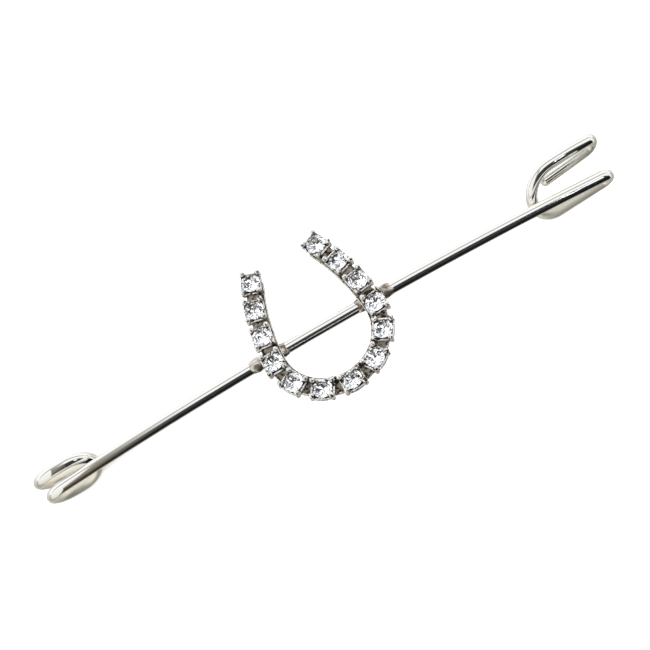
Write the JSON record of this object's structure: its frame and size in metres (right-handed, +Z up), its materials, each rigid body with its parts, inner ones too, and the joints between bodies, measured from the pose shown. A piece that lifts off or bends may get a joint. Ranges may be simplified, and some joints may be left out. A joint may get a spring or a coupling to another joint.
{
  "type": "stock pin",
  "caption": "Safety-pin style stock pin of one bent wire with a spring coil and an open hook catch, carrying a horseshoe of clear round stones across its bar.",
  "frame": {"origin": "The middle of the pin's outline seen from above, on the surface that it lies on.", "axes": "+X runs along the pin from the coil to the catch, +Y points across it towards the horseshoe's open end, +Z points up from the surface to the stones."},
  "size_m": [0.0814, 0.0212, 0.01],
  "materials": {
    "plated_metal": "mirror polish",
    "stone_glass": "faceted and polished, foil backed"
  },
  "bodies": {
    "root": {"wire_and_setting": "plated_metal", "stone_01": "stone_glass", "stone_02": "stone_glass", "stone_03": "stone_glass", "stone_04": "stone_glass", "stone_05": "stone_glass", "stone_06": "stone_glass", "stone_07": "stone_glass", "stone_08": "stone_glass", "stone_09": "stone_glass", "stone_10": "stone_glass", "stone_11": "stone_glass", "stone_12": "stone_glass", "stone_13": "stone_glass"}
  },
  "joints": []
}
